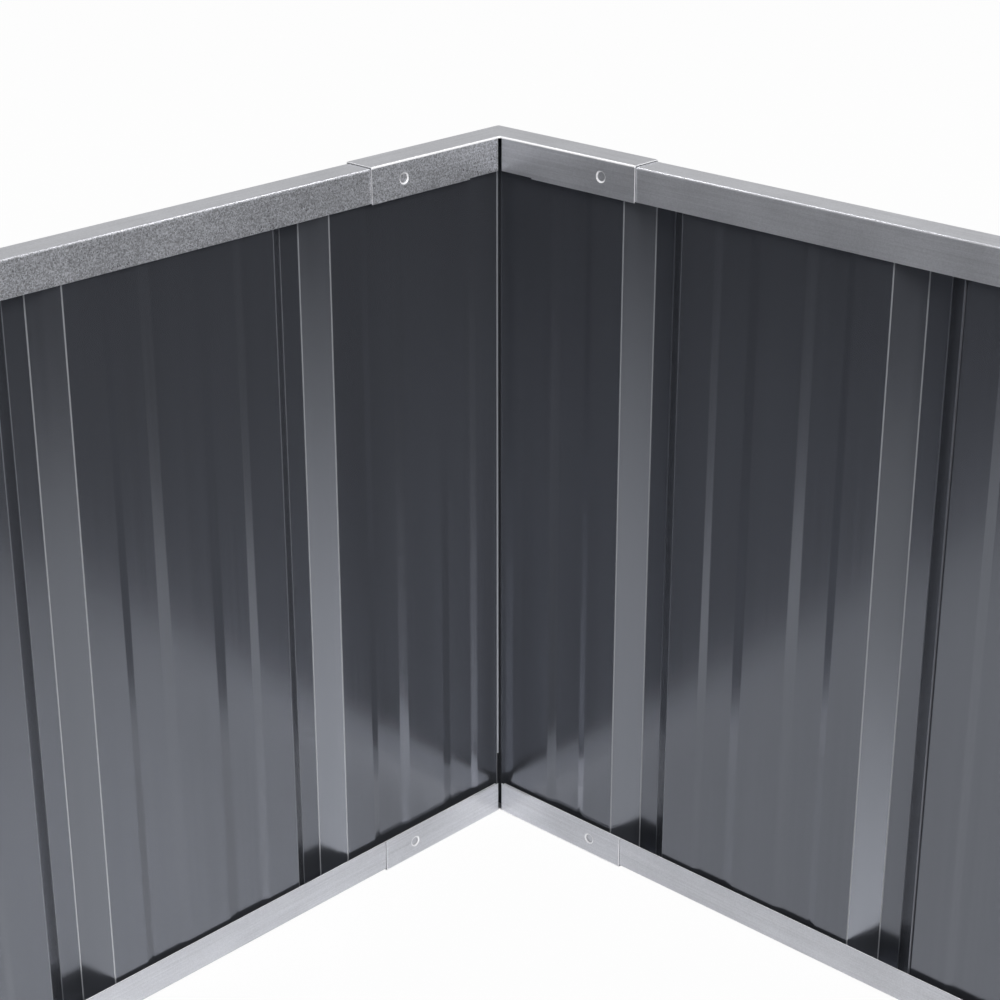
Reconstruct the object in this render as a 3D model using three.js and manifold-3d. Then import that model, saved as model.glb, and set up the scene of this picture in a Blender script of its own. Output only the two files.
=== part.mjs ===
// Raised garden bed of sheet steel. Two rings of channel, one on the ground and one round the rim,
// hold profiled wall sheets between them. L-shaped caps slip over the channels at the corners, and
// a folded post stands behind each pair of caps. Millimetres, +Z up, origin on the ground at the
// middle of the bed.
import * as THREE from 'three';
import { mergeVertices } from 'three/addons/utils/BufferGeometryUtils.js';
import Module from 'manifold-3d';

// Whole bed, over the corner caps.
const BED_LENGTH = 1000;
const BED_WIDTH = 1000;
const BED_HEIGHT = 450;

// Clearances.
const SEAT_GAP = 0.3; // between pieces that rest on or slip over each other
const HOLE_CLEARANCE = 0.3; // all round a screw's shank
const SHEET_PLAY = 1.9; // from a rail's inner flange to the flats of the sheet in it
const POST_PLAY = 0.6; // from a post's inner face to the deepest rib
const SHEET_END_CLEARANCE = 6; // from the end of a through sheet to the post

// Profiled wall sheet. The ribs and the shallow grooves are pressed outwards.
const SHEET_STEEL = 0.6;
const RIB_DEPTH = 12;
const RIB_CREST = 13.6;
const RIB_SIDE = 14.2; // width in plan of one sloping side
const RIB_FLAT = 23.1; // from the foot of a rib to the next groove
const GROOVE_DEPTH = 0.9;
const GROOVE_FLOOR = 19;
const GROOVE_SIDE_BY_RIB = 5; // width in plan of the sloping side nearer the rib
const GROOVE_SIDE_BY_FLAT = 7;
const MIDDLE_FLAT = 30; // between the two grooves, halfway from rib to rib

// Where the ribs stand: from the inside corner to the middle of the first rib.
const FIRST_RIB_BACK = 113.4;
const FIRST_RIB_SIDE = 151.7;
// How far the edges of lapped sheets run past the middle of the rib that they share.
const LAP_REACH_BACK = 21.6;
const LAP_REACH_SIDE = 16.5;

// Rails: straight channels.
const RAIL_STEEL = 0.7;
const RAIL_FLANGE = 19.9; // height over the web
const RAIL_FOLD = 1.3; // outer radius of the fold
const RAIL_SETBACK = 3; // from the inside corner to the end of a rail

// Corner caps: L-shaped channels.
const CAP_STEEL = 0.6;
const CAP_OVERLAP = 0.5; // how far a cap's flanges run past the edges of the rail's
const CAP_FOLD = 1.2;
const CAP_LEG = 102.5; // from the inside corner to the end of a leg
const CAP_NOTCH = 1.4; // from the inside corner to the edge of each inner flange
const CAP_SEAM = 0.6; // slit between the two outer flanges
const CAP_NOSE = 2; // radius of the outside corner
const RELIEF_LENGTH = 25; // the inner flanges are a little lower near the corner
const RELIEF_HEIGHT = 0.8;
const CAP_HOLE = 7; // diameter of the open hole in each inner flange
const CAP_HOLE_OFFSET = 77.8; // from the inside corner to the middle of that hole

// Corner posts: folded angles.
const POST_STEEL = 0.7;
const POST_LEG = 43;
const POST_FOLD = 1.5;

// Pan-head screws.
const SCREW_SHANK = 4.2; // diameter
const SCREW_LENGTH = 9.5; // under the head
const SCREW_POINT = 2.5; // length of the tapered end
const SCREW_HEAD = 8.2; // diameter
const SCREW_HEAD_RIM = 1.1; // height of the head's straight edge
const SCREW_HEAD_DOME = 1.3; // height of the dome over it
const RECESS_WIDTH = 1.2; // the cross in the head
const RECESS_LENGTH = 4.4;
const RECESS_DEPTH = 1.4;

// Smoothness.
const FOLD_STEPS = 2; // facets round a fold
const HOLE_SIDES = 12;
const SCREW_SIDES = 12;
const DOME_STEPS = 2;
const OVERCUT = 1; // how far a cutter runs past what it cuts

// Worked out from the sizes above.
const steepestSide = Math.max(
  RIB_DEPTH / RIB_SIDE,
  GROOVE_DEPTH / GROOVE_SIDE_BY_RIB,
  GROOVE_DEPTH / GROOVE_SIDE_BY_FLAT,
);
// Lapped sheets nest with the seat gap between their steepest sides.
const lapShift = (SHEET_STEEL + SEAT_GAP) * Math.hypot(1, steepestSide);
const sheetInset = CAP_STEEL + SEAT_GAP + RAIL_STEEL + SHEET_PLAY; // inner face of cap to flats
const postInset = CAP_STEEL + SEAT_GAP + RAIL_STEEL + SEAT_GAP; // outer face of bed to post
const sheetBand = lapShift + RIB_DEPTH + SHEET_STEEL; // room that two lapped sheets take
const capWidth = sheetInset + sheetBand + POST_PLAY + POST_STEEL + postInset;
const railWidth = capWidth - 2 * (CAP_STEEL + SEAT_GAP);
const railBase = CAP_STEEL + SEAT_GAP;
const sheetBase = railBase + RAIL_STEEL + SEAT_GAP;
const sheetHeight = BED_HEIGHT - 2 * sheetBase;
const capFlange = railBase + RAIL_FLANGE + CAP_OVERLAP; // height over the web
const legEnd = capWidth + CAP_LEG; // from the outside corner
const railEnd = capWidth + RAIL_SETBACK; // from the outside corner
const postEdge = postInset + POST_LEG; // from the outside corner
const screwOffset = (railEnd + postEdge) / 2; // midway in the stretch that rail and post share
const flangeMiddle = capFlange / 2;
const screwHole = SCREW_SHANK + 2 * HOLE_CLEARANCE;
const arcSteps = FOLD_STEPS / 2; // an arc is given two facets for each step

const wasm = await Module();
wasm.setup();

const galvanised = { color: 0xb4b5b9, roughness: 0.38, metalness: 0.85 };
const anthracite = { color: 0x33383f, roughness: 0.28, metalness: 0.1 };
const zinc = { color: 0xc9cacc, roughness: 0.3, metalness: 0.9 };

/** A closed geometry as a solid that can be joined and cut. */
function toSolid(geometry) {
  const bare = geometry.clone();
  bare.deleteAttribute('normal');
  bare.deleteAttribute('uv');
  const merged = mergeVertices(bare);
  return new wasm.Manifold(new wasm.Mesh({
    numProp: 3,
    vertProperties: Float32Array.from(merged.attributes.position.array),
    triVerts: Uint32Array.from(merged.index.array),
  }));
}

/** A solid back as a geometry. */
function toGeometry(solid) {
  const mesh = solid.getMesh();
  const geometry = new THREE.BufferGeometry();
  geometry.setAttribute('position', new THREE.BufferAttribute(mesh.vertProperties, 3));
  geometry.setIndex(new THREE.BufferAttribute(mesh.triVerts, 1));
  geometry.computeVertexNormals();
  return geometry;
}

/** A solid with each of the cutters taken away. */
function cutAll(solid, cutters) {
  return cutters.reduce((rest, cutter) => rest.subtract(cutter), solid);
}

/** A box between two corners, as a cutter. */
function boxBetween(low, high) {
  const size = high.map((value, axis) => value - low[axis]);
  const geometry = new THREE.BoxGeometry(...size);
  geometry.translate(...low.map((value, axis) => value + size[axis] / 2));
  return toSolid(geometry);
}

/** A round cutter along Y, centred at a point. */
function drillAlongY(diameter, x, y, z, length) {
  const geometry = new THREE.CylinderGeometry(diameter / 2, diameter / 2, length, HOLE_SIDES);
  geometry.translate(x, y, z);
  return toSolid(geometry);
}

/** The same cutter along X. */
function drillAlongX(diameter, x, y, z, length) {
  const geometry = new THREE.CylinderGeometry(diameter / 2, diameter / 2, length, HOLE_SIDES);
  geometry.rotateZ(Math.PI / 2);
  geometry.translate(x, y, z);
  return toSolid(geometry);
}

/** A named piece in its own material. */
function piece(name, geometry, look) {
  const mesh = new THREE.Mesh(geometry, new THREE.MeshStandardMaterial(look));
  mesh.name = name;
  return mesh;
}

/** The bends of half a pitch, as [distance from the middle of the rib, depth]: the rib's first. */
function halfPitch() {
  const widths = [RIB_CREST / 2, RIB_SIDE, RIB_FLAT, GROOVE_SIDE_BY_RIB, GROOVE_FLOOR,
    GROOVE_SIDE_BY_FLAT];
  const depths = [RIB_DEPTH, 0, 0, GROOVE_DEPTH, GROOVE_DEPTH, 0];
  let distance = 0;
  return widths.map((width, index) => {
    distance += width;
    return [distance, depths[index]];
  });
}

const bends = halfPitch();
const grooveBends = bends.slice(2);
const pitch = 2 * bends.at(-1)[0] + MIDDLE_FLAT;
const ribFoot = RIB_CREST / 2 + RIB_SIDE; // from the middle of a rib to its foot

/** The bends round one rib. Past ribLimit, behind the corner posts, the rib itself is left out. */
function bendsRound(middle, ribLimit) {
  const half = Math.abs(middle) <= ribLimit ? bends : grooveBends;
  const left = half.map(([distance, depth]) => new THREE.Vector2(middle - distance, depth));
  const right = half.map(([distance, depth]) => new THREE.Vector2(middle + distance, depth));
  return [...left.reverse(), ...right];
}

/** The point of a line of bends at x. */
function pointAt(points, x) {
  const next = points.findIndex((point) => point.x > x);
  const before = points[next - 1];
  const after = points[next];
  return before.clone().lerp(after, (x - before.x) / (after.x - before.x));
}

/** The bends of a sheet's inner face from one x to another, with a rib in the middle at ribAt. */
function facePoints(from, to, ribAt, ribLimit) {
  const line = [];
  const firstRib = Math.floor((from - ribAt) / pitch) - 1;
  const lastRib = Math.ceil((to - ribAt) / pitch) + 1;
  for (let rib = firstRib; rib <= lastRib; rib += 1) {
    line.push(...bendsRound(ribAt + rib * pitch, ribLimit));
  }
  const between = line.filter((bend) => bend.x > from && bend.x < to);
  return [pointAt(line, from), ...between, pointAt(line, to)];
}

/** The other face of a folded sheet: the same bends, one thickness away, mitred. */
function offsetFace(points, thickness) {
  const normals = points.slice(1).map((point, index) => {
    const run = point.clone().sub(points[index]).normalize();
    return new THREE.Vector2(-run.y, run.x);
  });
  return points.map((point, index) => {
    const before = normals[Math.max(index - 1, 0)];
    const after = normals[Math.min(index, normals.length - 1)];
    const mitre = before.clone().add(after);
    return mitre.multiplyScalar(2 * thickness / mitre.lengthSq()).add(point);
  });
}

/** One wall sheet, standing on its lower edge, with its flats' inner face at y = 0. */
function sheet(from, to, ribAt, ribLimit) {
  const inner = facePoints(from, to, ribAt, ribLimit);
  const outer = offsetFace(inner, SHEET_STEEL);
  const outline = new THREE.Shape([...inner, ...outer.reverse()]);
  return new THREE.ExtrudeGeometry(outline, { depth: sheetHeight, bevelEnabled: false });
}

/** The section of a channel: width across X, web at the bottom, flanges up along Y. */
function channelSection(width, flange, steel, fold) {
  const half = width / 2;
  const inside = half - steel;
  const bend = fold - steel;
  const shape = new THREE.Shape();
  shape.moveTo(-inside, flange);
  shape.lineTo(-half, flange);
  shape.absarc(-half + fold, fold, fold, Math.PI, 1.5 * Math.PI, false);
  shape.absarc(half - fold, fold, fold, 1.5 * Math.PI, 2 * Math.PI, false);
  shape.lineTo(half, flange);
  shape.lineTo(inside, flange);
  shape.absarc(inside - bend, fold, bend, 0, -0.5 * Math.PI, true);
  shape.absarc(-inside + bend, fold, bend, 1.5 * Math.PI, Math.PI, true);
  return shape;
}

/** A rail along X for a wall of the given span, web down, screw holes in its outer (+Y) flange. */
function rail(span) {
  const length = span - 2 * railEnd;
  const section = channelSection(railWidth, RAIL_FLANGE, RAIL_STEEL, RAIL_FOLD);
  const geometry = new THREE.ExtrudeGeometry(section, {
    depth: length,
    bevelEnabled: false,
    curveSegments: arcSteps,
  });
  const alongX = new THREE.Matrix4().makeBasis(
    new THREE.Vector3(0, 1, 0),
    new THREE.Vector3(0, 0, 1),
    new THREE.Vector3(1, 0, 0),
  );
  geometry.applyMatrix4(alongX);
  geometry.translate(-length / 2, 0, 0);
  const holeAt = span / 2 - screwOffset;
  const holes = [-holeAt, holeAt].map((x) => drillAlongY(
    screwHole,
    x,
    railWidth / 2 - RAIL_STEEL / 2,
    flangeMiddle - railBase,
    RAIL_STEEL + 2 * OVERCUT,
  ));
  return toGeometry(cutAll(toSolid(geometry), holes));
}

/** An L in plan, its outside corner at the origin, inset all round and running past both ends. */
function capOutline(inset, nose) {
  const near = inset;
  const far = capWidth - inset;
  const end = legEnd + capWidth;
  const shape = new THREE.Shape();
  shape.moveTo(near + nose, near);
  shape.lineTo(end, near);
  shape.lineTo(end, far);
  shape.lineTo(far, far);
  shape.lineTo(far, end);
  shape.lineTo(near, end);
  shape.absarc(near + nose, near + nose, nose, Math.PI, 1.5 * Math.PI, false);
  return shape;
}

/** A prism over an outline whose lower edge is rounded all round, from a height upwards. */
function roundedPrism(outline, fold, base, height) {
  const geometry = new THREE.ExtrudeGeometry(outline, {
    depth: height,
    bevelThickness: fold,
    bevelSize: fold,
    bevelOffset: -fold,
    bevelSegments: FOLD_STEPS,
    curveSegments: 1,
  });
  geometry.translate(0, 0, base + fold);
  return toSolid(geometry);
}

/** A corner cap, web down, outside corner at the origin, legs along +X and +Y. */
function cornerCap() {
  const outer = roundedPrism(capOutline(0, CAP_NOSE), CAP_FOLD, 0, capFlange);
  const room = roundedPrism(
    capOutline(CAP_STEEL, CAP_NOSE - CAP_STEEL),
    CAP_FOLD - CAP_STEEL,
    CAP_STEEL,
    capFlange + OVERCUT,
  );
  const trim = boxBetween([0, 0, 0], [legEnd, legEnd, capFlange]);
  const folded = outer.subtract(room).intersect(trim);
  const top = capFlange + OVERCUT;
  const flangeFrom = capWidth - CAP_STEEL - OVERCUT;
  const flangeTo = capWidth + OVERCUT;
  const notchTo = capWidth + CAP_NOTCH;
  const notch = boxBetween([flangeFrom, flangeFrom, CAP_FOLD], [notchTo, notchTo, top]);
  const reliefFrom = capFlange - RELIEF_HEIGHT;
  const reliefTo = capWidth + RELIEF_LENGTH;
  const reliefX = boxBetween([flangeFrom, flangeFrom, reliefFrom], [reliefTo, flangeTo, top]);
  const reliefY = boxBetween([flangeFrom, flangeFrom, reliefFrom], [flangeTo, reliefTo, top]);
  const seamGeometry = new THREE.BoxGeometry(2 * (CAP_NOSE + CAP_STEEL), CAP_SEAM, capFlange);
  seamGeometry.rotateZ(Math.PI / 4);
  seamGeometry.translate(0, 0, CAP_FOLD + capFlange / 2);
  const through = CAP_STEEL + 2 * OVERCUT;
  const innerMiddle = capWidth - CAP_STEEL / 2;
  const outerMiddle = CAP_STEEL / 2;
  const openAt = capWidth + CAP_HOLE_OFFSET;
  return toGeometry(cutAll(folded, [
    notch,
    reliefX,
    reliefY,
    toSolid(seamGeometry),
    drillAlongY(CAP_HOLE, openAt, innerMiddle, flangeMiddle, through),
    drillAlongX(CAP_HOLE, innerMiddle, openAt, flangeMiddle, through),
    drillAlongY(screwHole, screwOffset, outerMiddle, flangeMiddle, through),
    drillAlongX(screwHole, outerMiddle, screwOffset, flangeMiddle, through),
  ]));
}

/** A corner post, in the same frame as the caps, standing on the rails' webs. */
function cornerPost() {
  const near = postInset;
  const inside = near + POST_STEEL;
  const bend = POST_FOLD - POST_STEEL;
  const shape = new THREE.Shape();
  shape.moveTo(postEdge, near);
  shape.lineTo(postEdge, inside);
  shape.absarc(near + POST_FOLD, near + POST_FOLD, bend, 1.5 * Math.PI, Math.PI, true);
  shape.lineTo(inside, postEdge);
  shape.lineTo(near, postEdge);
  shape.absarc(near + POST_FOLD, near + POST_FOLD, POST_FOLD, Math.PI, 1.5 * Math.PI, false);
  const geometry = new THREE.ExtrudeGeometry(shape, {
    depth: sheetHeight,
    bevelEnabled: false,
    curveSegments: arcSteps,
  });
  geometry.translate(0, 0, sheetBase);
  const middle = near + POST_STEEL / 2;
  const through = POST_STEEL + 2 * OVERCUT;
  const holes = [flangeMiddle, BED_HEIGHT - flangeMiddle].flatMap((z) => [
    drillAlongY(screwHole, screwOffset, middle, z, through),
    drillAlongX(screwHole, middle, screwOffset, z, through),
  ]);
  return toGeometry(cutAll(toSolid(geometry), holes));
}

/** A pan-head screw along Y: the head's underside at y = 0, its point towards +Y. */
function screw() {
  const headRadius = SCREW_HEAD / 2;
  const outline = [new THREE.Vector2(0, SCREW_LENGTH)];
  outline.push(new THREE.Vector2(SCREW_SHANK / 2, SCREW_LENGTH - SCREW_POINT));
  outline.push(new THREE.Vector2(SCREW_SHANK / 2, 0));
  outline.push(new THREE.Vector2(headRadius, 0));
  for (let step = 0; step < DOME_STEPS; step += 1) {
    const turn = 0.5 * Math.PI * step / DOME_STEPS;
    const radius = headRadius * Math.cos(turn);
    const height = SCREW_HEAD_RIM + SCREW_HEAD_DOME * Math.sin(turn);
    outline.push(new THREE.Vector2(radius, -height));
  }
  outline.push(new THREE.Vector2(0, -SCREW_HEAD_RIM - SCREW_HEAD_DOME));
  const turned = toSolid(new THREE.LatheGeometry(outline.reverse(), SCREW_SIDES));
  const crown = -SCREW_HEAD_RIM - SCREW_HEAD_DOME;
  const half = RECESS_LENGTH / 2;
  const slot = RECESS_WIDTH / 2;
  const floor = crown + RECESS_DEPTH;
  return toGeometry(cutAll(turned, [
    boxBetween([-half, crown - OVERCUT, -slot], [half, floor, slot]),
    boxBetween([-slot, crown - OVERCUT, -half], [slot, floor, half]),
  ]));
}

/** The two rails and two lapped sheets of one wall, with the wall's outer face towards +Y. */
function wall(name, turn, span, outerFace, sheets) {
  const group = new THREE.Group();
  group.rotation.z = turn;
  const railGeometry = rail(span);
  const railMiddle = outerFace - capWidth / 2;
  const bottomRail = piece(`bottom_rail_${name}`, railGeometry, galvanised);
  bottomRail.position.set(0, railMiddle, railBase);
  const topRail = piece(`top_rail_${name}`, railGeometry, galvanised);
  topRail.position.set(0, railMiddle, BED_HEIGHT - railBase);
  topRail.rotation.y = Math.PI;
  group.add(bottomRail, topRail);
  const ribLimit = span / 2 - postEdge - ribFoot;
  for (const { label, from, to, ribAt, layer } of sheets) {
    const geometry = sheet(from, to, ribAt, ribLimit);
    const mesh = piece(`wall_sheet_${name}_${label}`, geometry, anthracite);
    const flats = outerFace - capWidth + sheetInset + layer * lapShift;
    mesh.position.set(0, flats, sheetBase);
    group.add(mesh);
  }
  return group;
}

/** Sheets of the back and front walls: they run through behind the ends of the side sheets. */
function throughSheets() {
  const end = BED_LENGTH / 2 - postInset - POST_STEEL - SHEET_END_CLEARANCE;
  const firstRib = -BED_LENGTH / 2 + capWidth + FIRST_RIB_BACK;
  const lap = firstRib + pitch;
  return [
    { label: 'short', from: -end, to: lap + LAP_REACH_BACK, ribAt: lap, layer: 0 },
    { label: 'long', from: lap - LAP_REACH_BACK, to: end, ribAt: lap, layer: 1 },
  ];
}

/** Sheets of the side walls: they stop short of the back and front sheets' inner faces. */
function betweenSheets() {
  const end = BED_WIDTH / 2 - capWidth + sheetInset - SEAT_GAP;
  const lap = BED_WIDTH / 2 - capWidth - FIRST_RIB_SIDE;
  return [
    { label: 'long', from: -end, to: lap + LAP_REACH_SIDE, ribAt: lap, layer: 0 },
    { label: 'short', from: lap - LAP_REACH_SIDE, to: end, ribAt: lap, layer: 1 },
  ];
}

/** The caps, post and screws of one corner; the legs of its caps run along local +X and +Y. */
function corner(name, turn, x, y) {
  const group = new THREE.Group();
  group.position.set(x, y, 0);
  group.rotation.z = turn;
  const capGeometry = cornerCap();
  const bottomCap = piece(`bottom_corner_cap_${name}`, capGeometry, galvanised);
  const topCap = piece(`top_corner_cap_${name}`, capGeometry, galvanised);
  topCap.position.z = BED_HEIGHT;
  topCap.quaternion.setFromAxisAngle(new THREE.Vector3(1, 1, 0).normalize(), Math.PI);
  group.add(bottomCap, topCap, piece(`corner_post_${name}`, cornerPost(), anthracite));
  const screwGeometry = screw();
  const levels = [['bottom', flangeMiddle], ['top', BED_HEIGHT - flangeMiddle]];
  for (const [level, z] of levels) {
    const first = piece(`${level}_screw_${name}_a`, screwGeometry, zinc);
    first.position.set(screwOffset, -SEAT_GAP, z);
    const second = piece(`${level}_screw_${name}_b`, screwGeometry, zinc);
    second.position.set(-SEAT_GAP, screwOffset, z);
    second.rotation.z = -Math.PI / 2;
    group.add(first, second);
  }
  return group;
}

const halfLength = BED_LENGTH / 2;
const halfWidth = BED_WIDTH / 2;
const quarter = Math.PI / 2;
const bed = new THREE.Group();
bed.add(
  wall('back', 0, BED_LENGTH, halfWidth, throughSheets()),
  wall('front', 2 * quarter, BED_LENGTH, halfWidth, throughSheets()),
  wall('left', quarter, BED_WIDTH, halfLength, betweenSheets()),
  wall('right', -quarter, BED_WIDTH, halfLength, betweenSheets()),
  corner('back_left', -quarter, -halfLength, halfWidth),
  corner('front_left', 0, -halfLength, -halfWidth),
  corner('front_right', quarter, halfLength, -halfWidth),
  corner('back_right', 2 * quarter, halfLength, halfWidth),
);

export default bed;
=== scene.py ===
"""Looks of a raised garden bed of sheet steel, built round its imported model.

Two rings of galvanised channel hold profiled, anthracite-painted wall sheets between them. L-shaped
caps slip over the channels at the corners, a folded post stands behind each pair of caps, and
pan-head screws hold the three together. Metres, +Z up, origin on the ground at the middle.
"""

import logging
import math
from dataclasses import dataclass
from enum import Enum
from typing import Any, ClassVar, Iterable, Iterator, Sequence, Union

import bmesh
import bpy
from mathutils import Matrix, Vector


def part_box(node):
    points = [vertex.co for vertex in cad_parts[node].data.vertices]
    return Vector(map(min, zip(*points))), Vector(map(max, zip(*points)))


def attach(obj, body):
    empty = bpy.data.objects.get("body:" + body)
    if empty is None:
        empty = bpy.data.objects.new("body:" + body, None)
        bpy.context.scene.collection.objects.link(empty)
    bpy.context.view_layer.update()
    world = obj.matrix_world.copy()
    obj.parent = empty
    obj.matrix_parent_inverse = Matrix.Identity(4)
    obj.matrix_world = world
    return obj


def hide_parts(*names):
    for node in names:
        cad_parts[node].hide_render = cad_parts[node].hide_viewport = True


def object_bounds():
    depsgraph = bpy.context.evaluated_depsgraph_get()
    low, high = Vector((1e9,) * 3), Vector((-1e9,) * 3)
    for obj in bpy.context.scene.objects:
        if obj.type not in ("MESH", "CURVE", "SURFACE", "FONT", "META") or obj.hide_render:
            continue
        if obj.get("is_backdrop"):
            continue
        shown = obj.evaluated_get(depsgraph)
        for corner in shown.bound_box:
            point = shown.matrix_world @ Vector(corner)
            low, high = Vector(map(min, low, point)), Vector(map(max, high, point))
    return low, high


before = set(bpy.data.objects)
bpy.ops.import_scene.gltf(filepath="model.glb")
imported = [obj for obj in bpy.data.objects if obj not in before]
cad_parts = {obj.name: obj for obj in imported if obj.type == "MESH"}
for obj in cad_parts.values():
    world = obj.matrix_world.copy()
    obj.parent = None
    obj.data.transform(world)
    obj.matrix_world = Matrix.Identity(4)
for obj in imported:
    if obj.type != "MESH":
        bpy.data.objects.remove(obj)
cad_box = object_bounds()

log = logging.getLogger("garden_bed")

Mesh = bmesh.types.BMesh
Edge = bmesh.types.BMEdge
Face = bmesh.types.BMFace
Piece = bpy.types.Object
Looks = Sequence[bpy.types.Material]
Point = tuple[float, float, float]
Colour = tuple[float, float, float, float]

QUARTER = math.pi / 2
UP = Vector((0, 0, 1))
ALONG_X, ALONG_Y = Vector((1, 0, 0)), Vector((0, 1, 0))
CUT, CREASE = 1, 2  # slots of a sheet metal piece after its skin's: cut edges and sharp folds


# ---- Where things stand ----


class Level(Enum):
    """Whether a piece belongs to the ring on the ground or to the one round the rim."""

    BOTTOM = "bottom"
    TOP = "top"


class Side(Enum):
    """The walls, each with its quarter turns from the back wall."""

    BACK = 0
    LEFT = 1
    FRONT = 2
    RIGHT = 3

    @property
    def place(self) -> Matrix:
        """The wall's own frame: x along the wall, y outwards, z up, from the bed's middle."""
        return Matrix.Rotation(self.value * QUARTER, 4, "Z")

    @property
    def through(self) -> bool:
        """Whether the wall is the back or the front one, which lap the ends of the others."""
        return self in (Side.BACK, Side.FRONT)


class Corner(Enum):
    """The corners, each with its quarter turns from the front left one."""

    FRONT_LEFT = 0
    FRONT_RIGHT = 1
    BACK_RIGHT = 2
    BACK_LEFT = 3

    def place(self, bed: "BedOutline") -> Matrix:
        """The corner's own frame, at the outside corner with the legs along +X and +Y.

        Args:
            bed: The outline whose corner this is.

        Returns:
            The matrix from the corner's frame to the bed's.
        """
        turn = Matrix.Rotation(self.value * QUARTER, 4, "Z")
        outwards = turn @ Vector((-1, -1, 0))
        at = Vector((
            math.copysign(bed.half_length, outwards.x),
            math.copysign(bed.half_width, outwards.y),
            0,
        ))
        return Matrix.Translation(at) @ turn


@dataclass(frozen=True)
class BedOutline:
    """Outline of the bed over its corner caps, and where its screws sit, read from the frame."""

    half_length: float
    half_width: float
    height: float
    screw_offset: float  # from the outside corner to the middle of a screw
    screw_height: float  # from the ground to the middle of a bottom screw
    post_edge: float  # from the outside corner to the edge of a corner post

    @classmethod
    def from_frame(cls) -> "BedOutline":
        """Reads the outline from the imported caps, screws and posts.

        Returns:
            The outline that every other piece is placed from.
        """
        low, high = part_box("bottom_corner_cap_back_left")
        _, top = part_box("top_corner_cap_back_left")
        screw_low, screw_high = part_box("bottom_screw_back_left_b")
        _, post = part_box("corner_post_back_left")
        middle = (screw_low + screw_high) / 2
        return cls(-low.x, high.y, top.z, middle.x - low.x, middle.z, post.x - low.x)

    def half_span(self, side: Side) -> float:
        """From the middle of a wall to either corner."""
        return self.half_length if side.through else self.half_width

    def screw_at(self, level: Level) -> float:
        """From the ground to the middle of a ring's screws."""
        return self.screw_height if level is Level.BOTTOM else self.height - self.screw_height


def box_in(place: Matrix, node: str) -> tuple[Vector, Vector]:
    """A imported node's box, seen from a frame that is turned by quarters.

    Args:
        place: The matrix from that frame to the bed's.
        node: The node's name.

    Returns:
        The lowest and highest corners in that frame.
    """
    back = place.inverted()
    corners = [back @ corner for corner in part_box(node)]
    low = Vector(min(values) for values in zip(*corners))
    high = Vector(max(values) for values in zip(*corners))
    return low, high


# ---- Working sheet metal ----


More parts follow.
